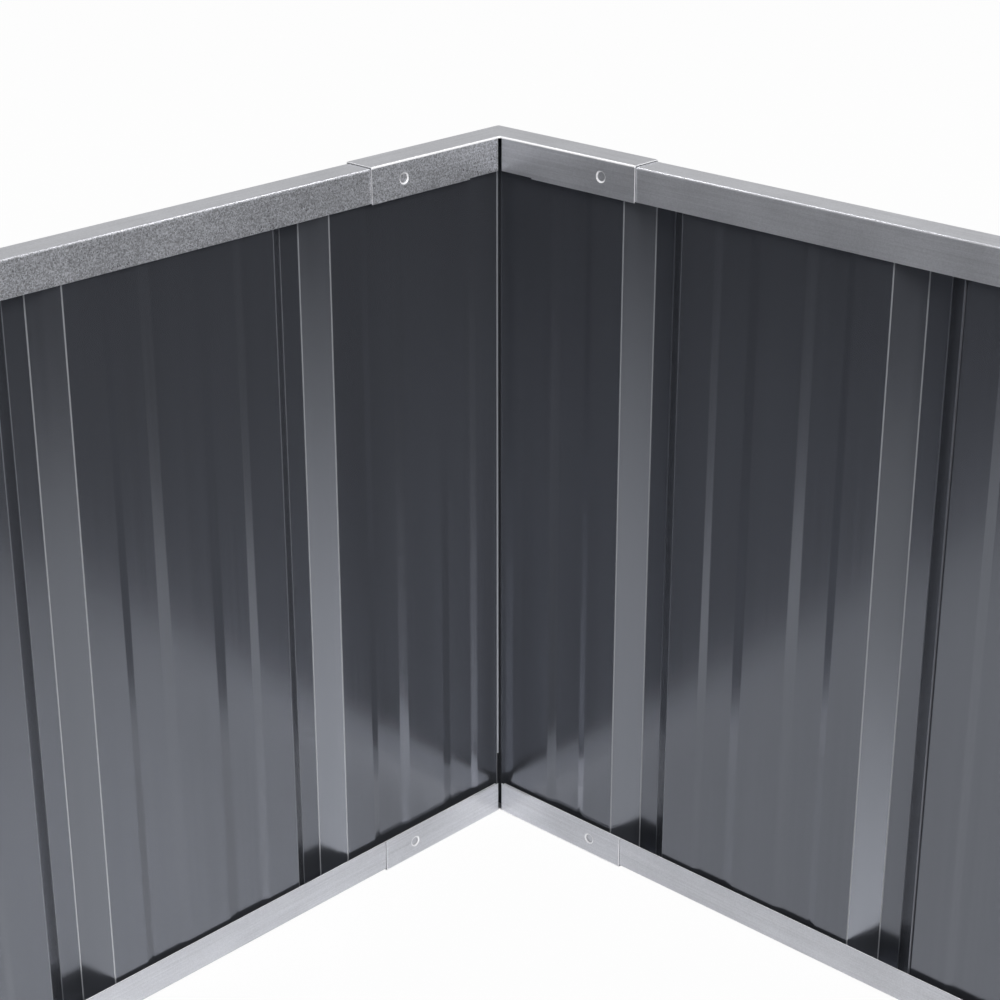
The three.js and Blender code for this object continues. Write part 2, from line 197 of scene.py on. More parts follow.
class SheetMetal:
    """Sheet metal on the bench: a skin that is folded and punched, then given its thickness.

    The skin is the face that shows, with its normals away from the steel behind it.
    """

    SMALLEST_FOLD = math.radians(4)
    SHARPEST_SMOOTH = math.radians(50)
    ON_PLANE = 1e-5
    EASED_STEPS = 2

    def __init__(self) -> None:
        """Starts with nothing on the bench."""
        self.bm = bmesh.new()

    def pull(self, edges: Iterable[Edge], along: Vector) -> list[Edge]:
        """Pulls new faces out of some edges.

        Args:
            edges: The edges to start from.
            along: How far and which way they are pulled.

        Returns:
            The far edges of the new faces.
        """
        pulled = bmesh.ops.extrude_edge_only(self.bm, edges=list(edges))["geom"]
        verts = [item for item in pulled if isinstance(item, bmesh.types.BMVert)]
        bmesh.ops.translate(self.bm, verts=verts, vec=along)
        return [item for item in pulled if isinstance(item, Edge)]

    def sweep(self, bends: Sequence[Vector], along: Vector) -> None:
        """Sweeps a line of bends into a strip for each stretch between them.

        Args:
            bends: The section's points, in order.
            along: The sweep.
        """
        verts = [self.bm.verts.new(point) for point in bends]
        edges = [self.bm.edges.new(pair) for pair in zip(verts, verts[1:])]
        self.pull(edges, along)

    def face_out(self, direction: Vector) -> None:
        """Turns the whole skin so that, taken together, it faces one way.

        Args:
            direction: The way that the skin's larger part faces.
        """
        bmesh.ops.recalc_face_normals(self.bm, faces=self.bm.faces[:])
        facing = sum((face.normal * face.calc_area() for face in self.bm.faces), Vector())
        if facing.dot(direction) < 0:
            bmesh.ops.reverse_faces(self.bm, faces=self.bm.faces[:])

    def bends(self) -> list[Edge]:
        """The edges at which the skin is bent."""
        inner = [edge for edge in self.bm.edges if edge.is_manifold]
        return [edge for edge in inner if edge.calc_face_angle() > self.SMALLEST_FOLD]

    def fold(
        self, bends: Sequence[Edge], reach: float, steps: int, crease_from: float = math.pi
    ) -> None:
        """Rounds some of the skin's bends.

        Args:
            bends: The edges to round.
            reach: From the sharp bend to the end of the round, measured along the sheet.
            steps: Facets round each bend.
            crease_from: From this angle on a bend's facets are creases.
        """
        rounded = bmesh.ops.bevel(
            self.bm, geom=bends, offset=reach, offset_type="OFFSET", segments=steps,
            profile=0.5, affect="EDGES", clamp_overlap=False, material=-1,
        )["faces"]
        self.bm.normal_update()
        for face in rounded:
            turns = [edge.calc_face_angle() for edge in face.edges if edge.is_manifold]
            if max(turns) > crease_from / steps:
                face.material_index = CREASE

    def face_at(self, point: Vector, facing: Vector) -> Face:
        """Finds the face that a point lies on.

        Args:
            point: A point on the skin.
            facing: The face's normal, either way round.

        Returns:
            The face.
        """
        for face in self.bm.faces:
            level = abs((point - face.calc_center_median()).dot(face.normal)) < self.ON_PLANE
            parallel = abs(face.normal.dot(facing)) > 1 - self.ON_PLANE
            if level and parallel and bmesh.geometry.intersect_face_point(face, point):
                return face
        raise ValueError(f"no face under {point}")

    def punch(self, centres: Sequence[Vector], facing: Vector, diameter: float, sides: int) -> None:
        """Punches round holes through one flat face.

        Args:
            centres: The holes' middles, all on the same face.
            facing: The face's normal.
            diameter: The holes' diameter.
            sides: Facets round each hole.
        """
        face = self.face_at(centres[0], facing)
        outline = list(face.edges)
        turn = UP.rotation_difference(facing).to_matrix().to_4x4()
        for centre in centres:
            ring = bmesh.ops.create_circle(
                self.bm, cap_ends=False, segments=sides, radius=diameter / 2,
                matrix=Matrix.Translation(centre) @ turn,
            )
            outline += {edge for vert in ring["verts"] for edge in vert.link_edges}
        bmesh.ops.delete(self.bm, geom=[face], context="FACES_ONLY")
        bmesh.ops.triangle_fill(self.bm, use_beauty=True, edges=outline, normal=facing)

    def slope_hole(
        self, centre: Vector, facing: Vector, diameter: float, slope: float, steel: float
    ) -> None:
        """Draws the back edge of a hole inwards, so that the hole's wall slopes.

        Args:
            centre: The hole's middle on the skin.
            facing: The skin's normal there.
            diameter: The hole's diameter in the skin.
            slope: How far the back edge moves towards the middle.
            steel: The sheet's thickness.
        """
        radius = diameter / 2
        behind = []
        for vert in self.bm.verts:
            away = vert.co - centre
            depth = -away.dot(facing)
            near = (away + facing * depth).length < radius + steel / 2
            if near and abs(depth - steel) < steel / 2:
                behind.append(vert)
        narrowed = Vector([1.0 if axis else 1.0 - slope / radius for axis in facing])
        bmesh.ops.translate(self.bm, verts=behind, vec=-centre)
        bmesh.ops.scale(self.bm, verts=behind, vec=narrowed)
        bmesh.ops.translate(self.bm, verts=behind, vec=centre)

    def snip(self, low: Vector, high: Vector, facing: Vector) -> None:
        """Cuts away the part of the skin that lies in a box.

        Args:
            low: The box's lowest corner.
            high: Its highest corner.
            facing: The normal of the faces that are cut, either way round. A zero vector cuts all.
        """
        for axis, level in [(axis, at[axis]) for at in (low, high) for axis in range(3)]:
            normal = Vector(float(axis == other) for other in range(3))
            crossed = [
                face for face in self._reached(low, high, facing)
                if self._span(face, axis)[0] < level - self.ON_PLANE
                and self._span(face, axis)[1] > level + self.ON_PLANE
            ]
            edges = {edge for face in crossed for edge in face.edges}
            verts = {vert for face in crossed for vert in face.verts}
            bmesh.ops.bisect_plane(
                self.bm, geom=[*crossed, *edges, *verts], plane_co=normal * level,
                plane_no=normal, dist=self.ON_PLANE,
            )
        bmesh.ops.delete(self.bm, geom=self._reached(low, high, facing), context="FACES")

    def _reached(self, low: Vector, high: Vector, facing: Vector) -> list[Face]:
        """The faces of one facing whose own boxes reach into a box."""
        along = [
            face for face in self.bm.faces
            if abs(face.normal.dot(facing)) > facing.length - self.ON_PLANE
        ]
        return [
            face for face in along
            if all(
                self._span(face, axis)[0] < high[axis] - self.ON_PLANE
                and self._span(face, axis)[1] > low[axis] + self.ON_PLANE
                for axis in range(3)
            )
        ]

    @staticmethod
    def _span(face: Face, axis: int) -> tuple[float, float]:
        """The lowest and highest of a face along an axis."""
        values = [vert.co[axis] for vert in face.verts]
        return min(values), max(values)

    def thicken(self, steel: float, burr: float, facing: Vector) -> None:
        """Gives the skin its thickness and takes the sharpness off its cut edges.

        Args:
            steel: The sheet's thickness, which lies behind the skin.
            burr: Width of the eased edge on either side of a cut.
            facing: The way that the skin's larger part faces.
        """
        self.face_out(facing)
        skin = set(self.bm.faces)
        rim = [edge for edge in self.bm.edges if edge.is_boundary]
        bmesh.ops.solidify(self.bm, geom=self.bm.faces[:], thickness=steel)
        cut = {face for edge in rim for face in edge.link_faces if face not in skin}
        for face in cut:
            face.material_index = CUT
        sharp = [
            edge for edge in self.bm.edges
            if len(cut.intersection(edge.link_faces)) == 1 and edge.is_manifold
        ]
        bmesh.ops.bevel(
            self.bm, geom=sharp, offset=burr, offset_type="OFFSET", segments=self.EASED_STEPS,
            profile=0.5, affect="EDGES", clamp_overlap=True, material=-1,
        )

    def finish(self, name: str, place: Matrix, looks: Looks) -> Piece:
        """Takes the piece off the bench and puts its place in the bed into its mesh."""
        bmesh.ops.transform(self.bm, matrix=place, verts=self.bm.verts[:])
        return to_object(self.bm, name, looks, self.SHARPEST_SMOOTH)


def to_object(bm: Mesh, name: str, looks: Looks, sharp_from: float) -> Piece:
    """Makes an object of a finished mesh, smooth but for its sharp edges.

    Args:
        bm: The mesh, in the bed's frame. It is freed.
        name: The object's name.
        looks: The materials of its slots.
        sharp_from: The angle from which an edge stays sharp.

    Returns:
        The object, linked to the scene.
    """
    mesh = bpy.data.meshes.new(name)
    for face in bm.faces:
        face.smooth = True
    bm.to_mesh(mesh)
    bm.free()
    mesh.set_sharp_from_angle(angle=sharp_from)
    for look in looks:
        mesh.materials.append(look)
    piece = bpy.data.objects.new(name, mesh)
    bpy.context.scene.collection.objects.link(piece)
    even = piece.modifiers.new("flats_shade_flat", "WEIGHTED_NORMAL")
    even.keep_sharp = True
    return piece


def dress(piece: Piece, node: str, slot: str) -> Piece:
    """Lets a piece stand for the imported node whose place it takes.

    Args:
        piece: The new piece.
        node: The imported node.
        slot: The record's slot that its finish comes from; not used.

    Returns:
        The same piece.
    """
    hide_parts(node)
    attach(piece, "root")
    log.info("%s: %d faces for %s", piece.name, len(piece.data.polygons), node)
    return piece


# ---- Shader nodes ----

Number = Union[float, "Value"]


class Value:
    """One output of a shader, on which Python's operators add Math nodes."""

    def __init__(self, shader: "Shader", socket: bpy.types.NodeSocket) -> None:
        """Wraps an output socket of a shader."""
        self.shader = shader
        self.socket = socket

    def _math(self, operation: str, first: Number, second: Number) -> "Value":
        """Adds a Math node on two numbers."""
        return self.shader.add("ShaderNodeMath", {"operation": operation}, {0: first, 1: second})

    def __add__(self, other: Number) -> "Value":
        """Self plus other."""
        return self._math("ADD", self, other)

    __radd__ = __add__

    def __sub__(self, other: Number) -> "Value":
        """Self minus other."""
        return self._math("SUBTRACT", self, other)

    def __rsub__(self, other: Number) -> "Value":
        """Other minus self."""
        return self._math("SUBTRACT", other, self)

    def __mul__(self, other: Number) -> "Value":
        """Self times other."""
        return self._math("MULTIPLY", self, other)

    __rmul__ = __mul__

    def __abs__(self) -> "Value":
        """Self without its sign."""
        return self._math("ABSOLUTE", self, 0.0)

    def above(self, other: Number) -> "Value":
        """1 where self is larger than other, else 0."""
        return self._math("GREATER_THAN", self, other)

    def at_most(self, other: Number) -> "Value":
        """The smaller of self and other."""
        return self._math("MINIMUM", self, other)

    def at_least(self, other: Number) -> "Value":
        """The larger of self and other."""
        return self._math("MAXIMUM", self, other)

    def share(self) -> "Value":
        """Self, held between 0 and 1."""
        return self.at_least(0.0).at_most(1.0)


class Shader:
    """A node tree being filled, of a material or of the world."""

    def __init__(self, owner: Union[bpy.types.Material, bpy.types.World]) -> None:
        """Empties a material's or the world's tree.

        Args:
            owner: The material or world.
        """
        owner.use_nodes = True
        self.tree = owner.node_tree
        self.tree.nodes.clear()

    def add(
        self, kind: str, settings: dict[str, Any], inputs: dict[Union[str, int], Any],
        output: Union[str, int] = 0,
    ) -> Value:
        """Adds a node.

        Args:
            kind: The node's type.
            settings: Its properties, which are set before its sockets.
            inputs: Values or links of its sockets, by name or number.
            output: The output that is handed back.

        Returns:
            That output.
        """
        node = self.tree.nodes.new(kind)
        for name, setting in settings.items():
            setattr(node, name, setting)
        for name, given in inputs.items():
            if isinstance(given, Value):
                self.tree.links.new(given.socket, node.inputs[name])
            else:
                node.inputs[name].default_value = given
        socket = node.outputs[output] if node.outputs else None
        return Value(self, socket)

    def coordinates(self, scale: Sequence[float] = (1, 1, 1)) -> Value:
        """Object coordinates, stretched along each axis by a scale."""
        inputs = {"Vector": self.add("ShaderNodeTexCoord", {}, {}, "Object"), "Scale": scale}
        return self.add("ShaderNodeMapping", {"vector_type": "POINT"}, inputs)

    def part(self, vector: Value, axis: str) -> Value:
        """A vector's number along X, Y or Z."""
        return self.add("ShaderNodeSeparateXYZ", {}, {"Vector": vector}, axis)

    def noise(self, vector: Value, scale: float, detail: float) -> Value:
        """Fractal noise from 0 to 1 on a vector."""
        inputs = {"Vector": vector, "Scale": scale, "Detail": detail}
        return self.add("ShaderNodeTexNoise", {}, inputs, "Fac")

    def blend(self, amount: Number, first: Any, second: Any) -> Value:
        """Mixes two colours by an amount."""
        settings = {"data_type": "RGBA", "blend_type": "MIX"}
        return self.add("ShaderNodeMix", settings, {0: amount, 6: first, 7: second}, 2)

    def shade(self, colour: Any, light: Value) -> Value:
        """A colour times a grey level."""
        settings = {"data_type": "RGBA", "blend_type": "MULTIPLY"}
        return self.add("ShaderNodeMix", settings, {0: 1.0, 6: colour, 7: light}, 2)

    def bump(self, height: Value, strength: float = 1.0) -> Value:
        """A normal from a height in metres."""
        inputs = {"Strength": strength, "Distance": 1.0, "Height": height}
        return self.add("ShaderNodeBump", {}, inputs, "Normal")


# ---- Finishes ----


@dataclass(frozen=True)
class Finish:
    """A finish, whose material is one Principled surface."""

    name: str

    def sockets(self, shader: Shader) -> dict[str, Any]:
        """The values and links of the surface's sockets."""
        raise NotImplementedError

    def material(self) -> bpy.types.Material:
        """Builds the finish's material.

        Returns:
            The material.
        """
        material = bpy.data.materials.new(self.name)
        shader = Shader(material)
        surface = shader.add("ShaderNodeBsdfPrincipled", {}, self.sockets(shader))
        shader.add("ShaderNodeOutputMaterial", {}, {"Surface": surface})
        return material


@dataclass(frozen=True)
class Galvanised(Finish):
    """Bright zinc-coated steel: a fine spangle, soft clouds and rolling marks along the piece, with
    painted glints in the spangle high up on faces towards +X and -X.
    """

    name: str = "galvanised_steel"
    light: Colour = (0.70, 0.708, 0.745, 1)
    dark: Colour = (0.50, 0.506, 0.535, 1)
    metal: float = 0.78
    roughness: float = 0.33
    roughness_swing: float = 0.1
    spangle: float = 1500.0  # grains in a metre
    spangle_depth: float = 0.85  # how far a grain's tone may lie from its neighbour's
    brightest: float = 1.35  # the most that a grain may lighten the colour
    cloud: float = 26.0
    cloud_depth: float = 0.8
    rolling_across: float = 1100.0  # marks in a metre
    rolling_along: float = 16.0
    rolling_depth: float = 1.1
    glint_side_grain: float = 1.0  # how much grain shows high up, on faces towards +X and -X, most of it painted glints
    plain_grain: float = 0.14  # and everywhere else
    glint_rise: float = 5.0  # in a metre: how fast the painted glints come in with height
    glint_from: float = 1.0
    grain_height: float = 0.00003
    bump: float = 0.35

    def sockets(self, shader: Shader) -> dict[str, Any]:
        """Works out the zinc's colour, roughness and grain.

        Args:
            shader: The shader that they are worked out in.

        Returns:
            The surface's sockets.
        """
        place = shader.coordinates()
        # Painted glints: the grain's tone swings much harder high up on faces towards +X and -X, as
        # if light caught the spangle there
        normal = shader.add("ShaderNodeTexCoord", {}, {}, "Normal")
        towards_x = abs(shader.part(normal, "X"))
        glint_height = (shader.part(place, "Z") * self.glint_rise - self.glint_from).share()
        painted_glints = (self.glint_side_grain - self.plain_grain) * towards_x * glint_height
        grain_and_glints = self.plain_grain + painted_glints
        cells = shader.add(
            "ShaderNodeTexVoronoi", {"feature": "F1"},
            {"Vector": place, "Scale": self.spangle, "Randomness": 1.0}, "Color",
        )
        tones = shader.add("ShaderNodeSeparateColor", {}, {"Color": cells}, "Red")
        grain = (tones - 0.5) * grain_and_glints
        clouds = shader.noise(place, self.cloud, detail=4.0) - 0.5
        rolled = self.rolling_marks(shader, place) - 0.5
        tone = 0.5 + clouds * self.cloud_depth + rolled * self.rolling_depth
        colour = shader.blend(tone.share(), self.dark, self.light)
        level = (1.0 + self.spangle_depth * grain).at_most(self.brightest)
        roughness = self.roughness + self.roughness_swing * (clouds + grain)
        bumps = self.grain_height * (grain + 0.5 * rolled)
        return {
            "Base Color": shader.shade(colour, level), "Metallic": self.metal,
            "Roughness": roughness, "Normal": shader.bump(bumps, self.bump),
        }

    def rolling_marks(self, shader: Shader, place: Value) -> Value:
        """Streaks that run along the wall that a point belongs to.

        Args:
            shader: The shader that they are worked out in.
            place: Object coordinates.

        Returns:
            The streaks, from 0 to 1.
        """
        x, y, z = (shader.part(place, axis) for axis in "XYZ")
        side_wall = abs(x).above(abs(y))
        along, across = x + side_wall * (y - x), y + side_wall * (x - y)
        stretched = shader.add("ShaderNodeCombineXYZ", {}, {
            0: along * self.rolling_along, 1: across * self.rolling_across,
            2: z * self.rolling_across,
        })
        return shader.noise(stretched, 1.0, detail=3.0)


@dataclass(frozen=True)
class AnthracitePaint(Finish):
    """Dark coil coating full of fine metal flakes, with faint streaks from the rolls."""

    name: str = "anthracite_paint"
    colour: Colour = (0.160, 0.168, 0.190, 1)
    faded: Colour = (0.180, 0.189, 0.214, 1)
    flake: float = 0.87  # how metallic it looks
    roughness: float = 0.22
    roughness_swing: float = 0.06
    gloss: float = 0.15
    gloss_roughness: float = 0.12
    streaks: float = 260.0  # in a metre, across the sheet
    streak_stretch: float = 1.2  # in a metre, up the sheet
    streak_height: float = 0.0000035
    ripple: float = 18.0  # slow unevenness of the sheet
    ripple_stretch: float = 0.35  # its share up the sheet
    ripple_height: float = 0.00006
    peel: float = 1500.0  # fine unevenness of the coating, in a metre
    peel_height: float = 0.0000012

    def sockets(self, shader: Shader) -> dict[str, Any]:
        """Works out the coating's colour, roughness and unevenness.

        Args:
            shader: The shader that they are worked out in.

        Returns:
            The surface's sockets.
        """
        across = shader.coordinates((self.streaks, self.streaks, self.streak_stretch))
        streaks = shader.noise(across, 1.0, detail=3.0)
        stretched = shader.coordinates((1, 1, self.ripple_stretch))
        ripple = shader.noise(stretched, self.ripple, detail=0.0)
        peel = shader.noise(shader.coordinates(), self.peel, detail=1.0)
        colour = self.tint(shader, shader.blend(streaks, self.colour, self.faded))
        roughness = self.roughness + self.roughness_swing * (streaks - 0.5)
        height = self.streak_height * streaks + self.ripple_height * ripple
        return {
            "Base Color": colour, "Metallic": self.flake, "Roughness": roughness,
            "Coat Weight": self.gloss, "Coat Roughness": self.gloss_roughness,
            "Normal": shader.bump(height + self.peel_height * peel),
        }

    def tint(self, shader: Shader, colour: Value) -> Value:
        """The coating's colour on a flat sheet."""
        return colour


@dataclass(frozen=True)
class FoldHighlightPaint(AnthracitePaint):
    """The same coating in a sharp fold, with a painted highlight: pale where the fold looks one way.
    """

    name: str = "stretched_paint"
    pale: Colour = (0.27, 0.278, 0.297, 1)
    pale_side: tuple[float, float, float] = (0.77, -0.64, 0.0)
    pale_from: float = 0.52  # how squarely a fold must face that side
    pale_rise: float = 4.0
    flake: float = 0.45
    roughness: float = 0.34

    def tint(self, shader: Shader, colour: Value) -> Value:
        """Paints a highlight on one side of the folds: pales the coating there.

        Args:
            shader: The shader that it is worked out in.
            colour: The flat coating's colour.

        Returns:
            The fold's colour.
        """
        normal = shader.add("ShaderNodeTexCoord", {}, {}, "Normal")
        facing = shader.add(
            "ShaderNodeVectorMath", {"operation": "DOT_PRODUCT"}, {0: normal, 1: self.pale_side},
            "Value",
        )
        # painted highlight: folds that face pale_side take the pale colour
        share = ((facing - self.pale_from) * self.pale_rise).share()
        return shader.blend(share, colour, self.pale)


@dataclass(frozen=True)
class MarkedMetal(Finish):
    """Metal with fine marks or patches of another tone, which are a little rougher too."""

    plain: Colour
    marked: Colour
    metal: float
    roughness: float = 0.34
    marks: float = 2400.0  # in a metre
    detail: float = 2.0
    roughness_swing: float = 0.15
    mark_height: float = 0.00001
    bump: float = 0.4

    @classmethod
    def cut_zinc_highlighted(cls) -> "MarkedMetal":
        """Galvanised steel, sheared, the zinc drawn over the edge; its near-white colour is partly a
        painted highlight along the cut.
        """
        return cls("cut_edge_zinc", (0.78, 0.78, 0.8, 1), (0.95, 0.95, 0.96, 1), 0.45)

    @classmethod
    def cut_paint(cls) -> "MarkedMetal":
        """Painted steel, sheared: a grey core between two dark films."""
        return cls("cut_edge_grey", (0.09, 0.09, 0.1, 1), (0.16, 0.16, 0.175, 1), 0.5)

    @classmethod
    def plated(cls) -> "MarkedMetal":
        """Bright plating on screws, with a faint blue bloom."""
        bright, bloom = (0.72, 0.72, 0.72, 1), (0.56, 0.6, 0.68, 1)
        return cls("zinc_plate", bright, bloom, 1.0, roughness=0.2, marks=420.0, detail=3.0)

    def sockets(self, shader: Shader) -> dict[str, Any]:
        """Works out the marks and their roughness.

        Args:
            shader: The shader that they are worked out in.

        Returns:
            The surface's sockets.
        """
        marks = shader.noise(shader.coordinates(), self.marks, self.detail)
        return {
            "Base Color": shader.blend(marks, self.plain, self.marked), "Metallic": self.metal,
            "Roughness": self.roughness + self.roughness_swing * marks,
            "Normal": shader.bump(self.mark_height * marks, self.bump),
        }


# ---- The bed's pieces ----


@dataclass(frozen=True)
class FoldedPieces:
    """Pieces folded from sheet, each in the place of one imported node."""

    steel: float = 0.0007
    burr: float = 0.00012  # width of the eased edge on either side of a cut
    slot: ClassVar[str] = "galvanised_steel"
    ending: ClassVar[str] = "folded"

    def folded(self, bed: BedOutline) -> Iterator[tuple[str, SheetMetal, Matrix]]:
        """Folds one piece after another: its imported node, its metal and its place."""
        raise NotImplementedError

    def build(self, bed: BedOutline, looks: Looks) -> list[Piece]:
        """Folds and dresses all the pieces.

        Args:
            bed: The bed's outline.
            looks: The skin's material, the cut edges' and, on the walls, the sharp folds'.

        Returns:
            The dressed pieces.
        """
        pieces = []
        for node, metal, place in self.folded(bed):
            piece = metal.finish(f"{node}_{self.ending}", place, looks)
            pieces.append(dress(piece, node, self.slot))
        return pieces


@dataclass(frozen=True)
class WallSheets(FoldedPieces):
    """The profiled sheets: two to a wall, lapped over one rib, with ribs pressed outwards."""

    slot: ClassVar[str] = "anthracite_paint"
    ending: ClassVar[str] = "painted"
    steel: float = 0.0006
    burr: float = 0.0001
    rib_depth: float = 0.012
    rib_crest: float = 0.0136
    rib_side: float = 0.0142
    rib_flat: float = 0.0231
    groove_depth: float = 0.0009
    groove_floor: float = 0.019
    groove_side_by_rib: float = 0.005
    groove_side_by_flat: float = 0.007
    middle_flat: float = 0.03
    fold_reach: float = 0.00045
    fold_steps: int = 3
    crease_from: float = 25.0  # degrees: from here on a fold's facets get the paint with a painted highlight
    lap_reach_through: float = 0.0216  # back and front: from the shared rib to a lapped edge
    lap_reach_between: float = 0.0165  # left and right
    lip: float = 0.0009  # what the side sheets turn inwards at a corner
    lip_angle: float = 32.0  # degrees
    lip_notch: float = 0.038  # how far that lip is cut away at the foot

    def half_pitch(self) -> list[tuple[float, float]]:
        """The bends on one side of a rib.

        Returns:
            Pairs of distance from the rib's middle and depth, the rib's own two first.
        """
        widths = (
            self.rib_crest / 2, self.rib_side, self.rib_flat, self.groove_side_by_rib,
            self.groove_floor, self.groove_side_by_flat,
        )
        depths = (self.rib_depth, 0.0, 0.0, self.groove_depth, self.groove_depth, 0.0)
        ends = [sum(widths[:count + 1]) for count in range(len(widths))]
        return list(zip(ends, depths))

    def bends(self, start: float, end: float, rib: float, rib_limit: float) -> list[Vector]:
        """The bends of a sheet's inner face, in plan.

        Args:
            start: Where the sheet starts along the wall.
            end: Where it ends.
            rib: The middle of one of its ribs.
            rib_limit: Past this distance from the wall's middle the ribs are left out.

        Returns:
            The points, with both ends.
        """
        half = self.half_pitch()
        pitch = 2 * half[-1][0] + self.middle_flat
        points = []
        for count in range(math.floor((start - rib) / pitch), math.ceil((end - rib) / pitch) + 1):
            middle = rib + count * pitch
            shown = half if abs(middle) <= rib_limit else half[2:]
            points += [Vector((middle - away, depth, 0)) for away, depth in reversed(shown)]
            points += [Vector((middle + away, depth, 0)) for away, depth in shown]
        between = [point for point in points if start < point.x < end]
        return [self.point_at(points, start), *between, self.point_at(points, end)]

    @staticmethod
    def point_at(points: Sequence[Vector], along: float) -> Vector:
        """The point of a line of bends at a distance along the wall.

        Args:
            points: The bends, in order.
            along: The distance.

        Returns:
            The point.
        """
        for before, after in zip(points, points[1:]):
            if before.x <= along <= after.x:
                return before.lerp(after, (along - before.x) / (after.x - before.x))
        return Vector((along, 0, 0))

    def folded(self, bed: BedOutline) -> Iterator[tuple[str, SheetMetal, Matrix]]:
        """Folds the eight sheets.

        Args:
            bed: The bed's outline.

        Yields:
            A sheet's node, its metal and its place.
        """
        for side in Side:
            span = bed.half_span(side)
            rib_limit = span - bed.post_edge - self.rib_crest / 2 - self.rib_side
            reach = self.lap_reach_through if side.through else self.lap_reach_between
            for label in ("short", "long"):
                node = f"wall_sheet_{side.name.lower()}_{label}"
                low, high = box_in(side.place, node)
                near_start = abs(low.x + span) < abs(high.x - span)
                rib = high.x - reach if near_start else low.x + reach
                bends = self.bends(low.x, high.x, rib, rib_limit)
                if not side.through:
                    self.turn_lip(bends, at_start=near_start)
                metal = SheetMetal()
                metal.sweep(bends, UP * (high.z - low.z))
                crease_from = math.radians(self.crease_from)
                metal.fold(metal.bends(), self.fold_reach, self.fold_steps, crease_from)
                if not side.through:
                    self.notch_lip(metal, bends[0 if near_start else -1])
                metal.thicken(self.steel, self.burr, -ALONG_Y)
                yield node, metal, side.place @ Matrix.Translation((0, low.y, low.z))

    def turn_lip(self, bends: list[Vector], at_start: bool) -> None:
        """Turns the last of a sheet inwards at its corner end.

        Args:
            bends: The sheet's bends, which are changed.
            at_start: Whether that end is the line's start.
        """
        index, outwards = (0, -1) if at_start else (-1, 1)
        turn = math.radians(self.lip_angle)
        run = Vector((outwards * self.lip * math.cos(turn), -self.lip * math.sin(turn), 0))
        bends[index] = bends[index] - Vector((run.x, 0, 0))
        bends.insert(0 if at_start else len(bends), bends[index] + run)

    def notch_lip(self, metal: SheetMetal, edge: Vector) -> None:
        """Cuts the lip away at the sheet's foot, where the rails meet.

        Args:
            metal: The sheet on the bench.
            edge: The lip's edge, in plan.
        """
        room = Vector((self.lip, self.lip, 0))
        low = edge - room - UP * self.lip
        metal.snip(low, edge + room + UP * self.lip_notch, Vector())


@dataclass(frozen=True)
class Rails(FoldedPieces):
    """The straight channels of both rings, open towards each other."""

    fold: float = 0.0013
    fold_steps: int = 4
    screw_hole: float = 0.0048
    hole_sides: int = 24

    def folded(self, bed: BedOutline) -> Iterator[tuple[str, SheetMetal, Matrix]]:
        """Folds the eight rails.

        Args:
            bed: The bed's outline.

        Yields:
            A rail's node, its metal and its place.
        """
        for level in Level:
            for side in Side:
                node = f"{level.value}_rail_{side.name.lower()}"
                low, high = box_in(side.place, node)
                middle = (low.y + high.y) / 2
                if level is Level.BOTTOM:
                    seat = Matrix.Translation((0, middle, low.z))
                else:
                    seat = Matrix.Translation((0, middle, high.z)) @ Matrix.Rotation(math.pi, 4, "Y")
                yield node, self.channel(bed, side, low, high), side.place @ seat

    def channel(self, bed: BedOutline, side: Side, low: Vector, high: Vector) -> SheetMetal:
        """Folds one rail, web down, with the screw holes in its outer flange.

        Args:
            bed: The bed's outline.
            side: The wall that it belongs to.
            low: The lowest corner of the rail's box in the wall's frame.
            high: The highest corner.

        Returns:
            The rail on the bench.
        """
        half = (high.y - low.y) / 2
        flange = high.z - low.z
        section = [
            Vector((low.x, y, z))
            for y, z in ((-half, flange), (-half, 0), (half, 0), (half, flange))
        ]
        metal = SheetMetal()
        metal.sweep(section, ALONG_X * (high.x - low.x))
        metal.fold(metal.bends(), self.fold, self.fold_steps)
        screw_at = bed.half_span(side) - bed.screw_offset
        height = bed.screw_height - min(low.z, bed.height - high.z)
        centres = [Vector((end * screw_at, half, height)) for end in (-1, 1)]
        metal.punch(centres, ALONG_Y, self.screw_hole, self.hole_sides)
        metal.thicken(self.steel, self.burr, -UP)
        return metal


